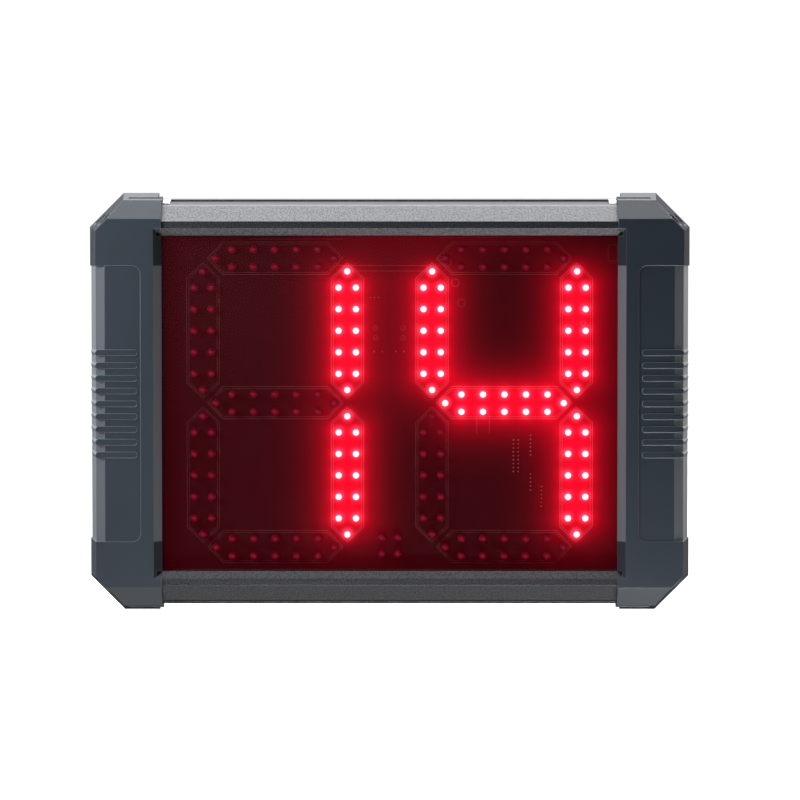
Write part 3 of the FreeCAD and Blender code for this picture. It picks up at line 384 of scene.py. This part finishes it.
def finish_nodes():
    black = plain_plastic("black_plastic", rgb(0.012, 0.012, 0.013), rgb(0.022, 0.022, 0.024))
    steel = metal("zinc_plate", rgb(0.42, 0.43, 0.45), rgb(0.62, 0.62, 0.60), 0.25, 400.0)
    lit_names = {f"{digit}_segment_{letter}" for digit, letters in SHOWN.items() for letter in letters}
    diodes = {name for name in nodes if "_segment_" in name} | {"decimal_point"}
    dress(["end_cap_left", "end_cap_right"], cap_plastic())
    dress(["top_rail", "bottom_rail"], rail_anodise())
    dress(["front_window"], tinted_pane())
    dress(["display_board", "control_board"], board_mask())
    dress(sorted(lit_names), lens("lens_lit", True))
    dress(sorted(diodes - lit_names), lens("lens_dark", False))
    dress(["back_panel"], powder_coat())
    dress(["channel_plugs"], plain_plastic("white_plastic", rgb(0.74, 0.74, 0.72), rgb(0.82, 0.82, 0.80), 0.4))
    dress(["end_cap_screws", "board_screws", "hanger_left_screw", "hanger_right_screw", "hanger_left_nut",
           "hanger_right_nut", "power_jack_nut", "clock_cell", "clock_crystal", "radio_receiver"], steel)
    dress(["hanger_left", "hanger_right"],
          metal("hanger_plate", rgb(0.40, 0.41, 0.43), rgb(0.58, 0.58, 0.57), 0.3, 260.0, (1.0, 1.0, 0.12)))
    dress(["board_spacers"], metal("spacer_brass", rgb(0.66, 0.48, 0.22), rgb(0.78, 0.58, 0.30), 0.25, 600.0))
    dress(["board_header", "cell_holder", "led_driver_chips", "microcontroller", "power_header", "power_inductor",
           "power_jack", "power_switch_body", "power_switch_rocker", "segment_resistors", "sounder"], black)
    dress(["power_leads"], plain_plastic("lead_skin", rgb(0.20, 0.012, 0.012), rgb(0.28, 0.02, 0.02), 0.4))


# ---- modelling ----

def deselect():
    bpy.ops.object.select_all(action="DESELECT")


def edit(mode):
    bpy.ops.object.mode_set(mode="EDIT")
    bpy.ops.mesh.select_mode(type=mode)


def done(name):
    """Leaves edit mode and puts the piece's place into its mesh."""
    bpy.ops.object.mode_set(mode="OBJECT")
    piece = bpy.context.object
    piece.name = name
    bpy.ops.object.transform_apply(location=True, rotation=True, scale=True)
    return piece


def hollow_outline(name, line, thick):
    """Turns the flat face being edited into a narrow raised line round its edge."""
    bpy.ops.mesh.select_all(action="SELECT")
    bpy.ops.mesh.inset(thickness=line * MM)
    bpy.ops.mesh.delete(type="FACE")
    bpy.ops.mesh.select_all(action="SELECT")
    bpy.ops.mesh.extrude_region_move(TRANSFORM_OT_translate={"value": (0, -thick * MM, 0)})
    bpy.ops.mesh.select_all(action="SELECT")
    bpy.ops.mesh.normals_make_consistent(inside=False)
    return done(name)


def segment_outline(name, half_wide, half_side, half_long, line=0.42):
    """A long six-sided outline, pointed at both ends, standing upright."""
    deselect()
    bpy.ops.mesh.primitive_circle_add(vertices=6, radius=half_long * MM, fill_type="NGON",
                                      location=(0, BOARD_FACE, MIDDLE_UP), rotation=(math.pi / 2, 0, 0))
    edit("VERT")
    bpy.ops.mesh.select_all(action="DESELECT")
    bpy.ops.object.mode_set(mode="OBJECT")
    for vertex in bpy.context.object.data.vertices:
        vertex.select = abs(vertex.co.x) > 0.1 * half_long * MM
    edit("VERT")
    wide = half_wide / (half_long * math.sin(math.pi / 3))
    tall = half_side / (half_long * math.cos(math.pi / 3))
    bpy.ops.transform.resize(value=(wide, 1, tall))
    return hollow_outline(name, line, 0.06)


def ring(name, radius, line, corners=20):
    deselect()
    bpy.ops.mesh.primitive_circle_add(vertices=corners, radius=radius * MM, fill_type="NGON",
                                      location=(0, BOARD_FACE, MIDDLE_UP), rotation=(math.pi / 2, 0, 0))
    edit("FACE")
    return hollow_outline(name, line, 0.06)


def frame_line(name, wide, tall, line):
    deselect()
    bpy.ops.mesh.primitive_plane_add(size=1, location=(0, BOARD_FACE, MIDDLE_UP), rotation=(math.pi / 2, 0, 0))
    edit("FACE")
    bpy.ops.mesh.select_all(action="SELECT")
    bpy.ops.transform.resize(value=(wide * MM, 1, tall * MM))
    return hollow_outline(name, line, 0.06)


def bar(name, wide, tall, thick=0.06):
    """A flat raised stroke on the board."""
    deselect()
    bpy.ops.mesh.primitive_plane_add(size=1, location=(0, BOARD_FACE, MIDDLE_UP), rotation=(math.pi / 2, 0, 0))
    edit("FACE")
    bpy.ops.mesh.select_all(action="SELECT")
    bpy.ops.transform.resize(value=(wide * MM, 1, tall * MM))
    bpy.ops.mesh.extrude_region_move(TRANSFORM_OT_translate={"value": (0, -thick * MM, 0)})
    bpy.ops.mesh.select_all(action="SELECT")
    bpy.ops.mesh.normals_make_consistent(inside=False)
    return done(name)


def dot(name, radius, thick=0.12):
    """A low solder dome over a hole."""
    deselect()
    bpy.ops.mesh.primitive_circle_add(vertices=12, radius=radius * MM, fill_type="NGON",
                                      location=(0, BOARD_FACE, MIDDLE_UP), rotation=(math.pi / 2, 0, 0))
    edit("FACE")
    bpy.ops.mesh.select_all(action="SELECT")
    bpy.ops.mesh.extrude_region_move(TRANSFORM_OT_translate={"value": (0, -thick * MM, 0)})
    bpy.ops.transform.resize(value=(0.6, 1, 0.6))
    bpy.ops.mesh.select_all(action="SELECT")
    bpy.ops.mesh.normals_make_consistent(inside=False)
    return done(name)


def copy_of(piece, across, up, turned=False):
    """Another of the piece with its own mesh, moved on the board's face by millimetres, and a quarter turned or not."""
    other = piece.copy()
    other.data = piece.data.copy()
    bpy.context.scene.collection.objects.link(other)
    middle = Vector((0, 0, MIDDLE_UP))
    if turned:
        turn = Matrix.Translation(middle) @ Matrix.Rotation(math.pi / 2, 4, "Y") @ Matrix.Translation(-middle)
        other.data.transform(turn)
    other.data.transform(Matrix.Translation((across * MM, 0, up * MM)))
    return other


def joined(name, pieces, material, body):
    deselect()
    for piece in pieces:
        piece.select_set(True)
    bpy.context.view_layer.objects.active = pieces[0]
    bpy.ops.object.join()
    whole = bpy.context.object
    whole.name = name
    whole.data.materials.clear()
    whole.data.materials.append(material)
    bpy.ops.object.shade_smooth_by_angle(angle=math.radians(35))
    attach(whole, body)
    return whole


def spread(pattern, spots):
    """Copies of a pattern, one at each spot."""
    return [copy_of(pattern, across, up) for across, up in spots]


def print_board():
    """Outlines round every segment, and the marks of the small parts between them."""
    marks = []
    outer = segment_outline("outline", 10.6, 33.7, 43.7)
    inner = segment_outline("outline_inner", 9.2, 33.2, 42.0, 0.3)
    for digit in SHOWN:
        for across, up, upright in places(digit):
            marks.append(copy_of(outer, across, up, not upright))
            marks.append(copy_of(inner, across, up, not upright))
    footprint = ring("footprint", 2.6, 0.3)
    small = ring("small_ring", 1.6, 0.3, 12)
    beside_four = [(37, 90), (42, 77), (46, 64)]
    marks += spread(footprint, beside_four)
    marks += spread(small, [(-9, 48), (-9, 41.7), (8.5, 48), (8.5, 41.7), (124, 60), (124, 51)])
    chip = frame_line("chip_outline", 6.2, 10.5, 0.3)
    marks += spread(chip, [(143, 96)])
    hair = bar("hair_line", 60.0, 0.3)
    marks += spread(hair, [(-3, 88), (-3, 84.5), (62, 106), (-60, 105)])
    upright = bar("upright_line", 0.3, 12.0)
    marks += spread(upright, [(56, -14), (64, -14)])
    for pattern in (outer, inner, footprint, small, chip, hair, upright):
        bpy.data.objects.remove(pattern)
    joined("board_outlines", marks, board_print(), "housing")


def pad_board():
    """Tinned holes of the parts fitted from behind."""
    solder = metal("solder", rgb(0.36, 0.10, 0.10), rgb(0.50, 0.16, 0.16), 0.3)
    pad = dot("pad", 0.55)
    spots = [(-12.4 + step * 2.6, 67.6) for step in range(3)]
    spots += [(across, -24 - step * 2.54) for across in (79.5, 82.6) for step in range(9)]
    spots += [(90.5, -21 - step * 2.54) for step in range(6)]
    spots += [(90.5, -46 - step * 2.54) for step in range(5)] + [(97.5, -54 - step * 2.54) for step in range(6)]
    spots += [(-10, 32.8), (-4.6, 32.8), (3.9, 32.8), (9.2, 32.8)]
    pads = spread(pad, spots)
    bpy.data.objects.remove(pad)
    joined("board_pads", pads, solder, "housing")


# ---- studio ----

def studio():
    deselect()
    bpy.ops.mesh.primitive_plane_add(size=12, location=(0, 1.5, -0.25))
    floor = bpy.context.object
    floor.name = "floor"
    paper = Paint("floor_paper", Roughness=0.9, Emission_Strength=0.6)
    fibre = paper.noise(4.0, 2.0)
    paper.feed(Base_Color=paper.blend(fibre, rgb(0.90, 0.90, 0.90), rgb(0.93, 0.93, 0.93)),
               Emission_Color=paper.blend(fibre, rgb(0.95, 0.95, 0.95), rgb(1.0, 1.0, 1.0)))
    floor.data.materials.append(paper.material)
    floor.visible_glossy = False
    floor.visible_diffuse = False

    def softbox(name, place, aim, wide, tall, power, colour=(1, 1, 1)):
        lamp = bpy.data.lights.new(name, "AREA")
        lamp.shape = "RECTANGLE"
        lamp.size, lamp.size_y = wide, tall
        lamp.energy = power
        lamp.color = colour
        box = bpy.data.objects.new(name, lamp)
        box.location = place
        box.rotation_euler = (Vector(aim) - Vector(place)).to_track_quat("-Z", "Y").to_euler()
        bpy.context.scene.collection.objects.link(box)

    middle = (0, 0, MIDDLE_UP)
    softbox("overhead", (0, 0.3, 1.4), middle, 1.6, 0.6, 32)
    softbox("left_key", (-0.62, -0.5, 0.45), middle, 0.35, 0.35, 7.4, (0.84, 0.94, 1.0))
    softbox("low_front", (0.2, -0.34, -0.3), (0.03, -0.02, 0.0), 0.9, 0.2, 9)

    world = bpy.data.worlds.new("studio")
    bpy.context.scene.world = world
    world.use_nodes = True
    tree = world.node_tree
    tree.nodes.clear()
    where = tree.nodes.new("ShaderNodeTexCoord")
    parts = tree.nodes.new("ShaderNodeSeparateXYZ")
    tree.links.new(where.outputs["Generated"], parts.inputs[0])

    def ramp(socket, low, high, start, stop):
        node = tree.nodes.new("ShaderNodeMapRange")
        node.interpolation_type = "SMOOTHSTEP"
        tree.links.new(socket, node.inputs["Value"])
        for key, amount in (("From Min", low), ("From Max", high), ("To Min", start), ("To Max", stop)):
            node.inputs[key].default_value = amount
        return node.outputs[0]

    def product(first, second, operation="MULTIPLY"):
        node = tree.nodes.new("ShaderNodeMath")
        node.operation = operation
        for place, term in enumerate((first, second)):
            if isinstance(term, float):
                node.inputs[place].default_value = term
            else:
                tree.links.new(term, node.inputs[place])
        return node.outputs[0]

    across, depth, up = parts.outputs
    leftward = ramp(across, -0.08, 0.07, 1.0, 0.2)
    band = product(ramp(up, -0.08, 0.02, 0.0, 0.4), ramp(up, 0.05, 0.15, 1.0, 0.1))
    front = product(product(ramp(depth, -0.2, 0.5, 1.0, 0.0), band), leftward)
    rear = product(ramp(depth, -0.2, 0.5, 0.0, 1.5), ramp(up, -0.2, 0.1, 0.02, 1.0))
    sides = product(ramp(product(across, 0.0, "ABSOLUTE"), 0.8, 0.97, 0.0, 1.3), ramp(up, -0.3, 0.0, 0.0, 1.0))
    top = ramp(up, 0.75, 0.95, 0.0, 2.0)
    under = product(ramp(up, -0.97, -0.75, 1.0, 0.0), ramp(depth, -0.1, 0.2, 2.6, 0.1))
    strength = product(product(product(front, rear, "ADD"), product(sides, top, "ADD"), "ADD"), under, "ADD")
    soft = tree.nodes.new("ShaderNodeBackground")
    tree.links.new(strength, soft.inputs["Strength"])
    soft.inputs["Color"].default_value = rgb(1, 1, 1)
    white = tree.nodes.new("ShaderNodeBackground")
    white.inputs["Color"].default_value = rgb(1, 1, 1)
    white.inputs["Strength"].default_value = 1.05
    path = tree.nodes.new("ShaderNodeLightPath")
    mix = tree.nodes.new("ShaderNodeMixShader")
    out = tree.nodes.new("ShaderNodeOutputWorld")
    tree.links.new(path.outputs["Is Camera Ray"], mix.inputs[0])
    tree.links.new(soft.outputs[0], mix.inputs[1])
    tree.links.new(white.outputs[0], mix.inputs[2])
    tree.links.new(mix.outputs[0], out.inputs[0])

    bpy.context.scene.view_settings.view_transform = "Standard"


def camera():
    lens_mm = 155.5
    away = 2.2
    rise = math.radians(2.3)
    aim = Vector((0.0066, cad_low[1], 0.1375))
    eye = bpy.data.cameras.new("camera")
    eye.lens = lens_mm
    eye.sensor_width = 36
    holder = bpy.data.objects.new("camera", eye)
    holder.location = aim + away * Vector((0, -math.cos(rise), math.sin(rise)))
    holder.rotation_euler = (math.pi / 2 - rise, 0, 0)
    bpy.context.scene.collection.objects.link(holder)
    bpy.context.scene.camera = holder


finish_nodes()
print_board()
pad_board()
studio()
camera()
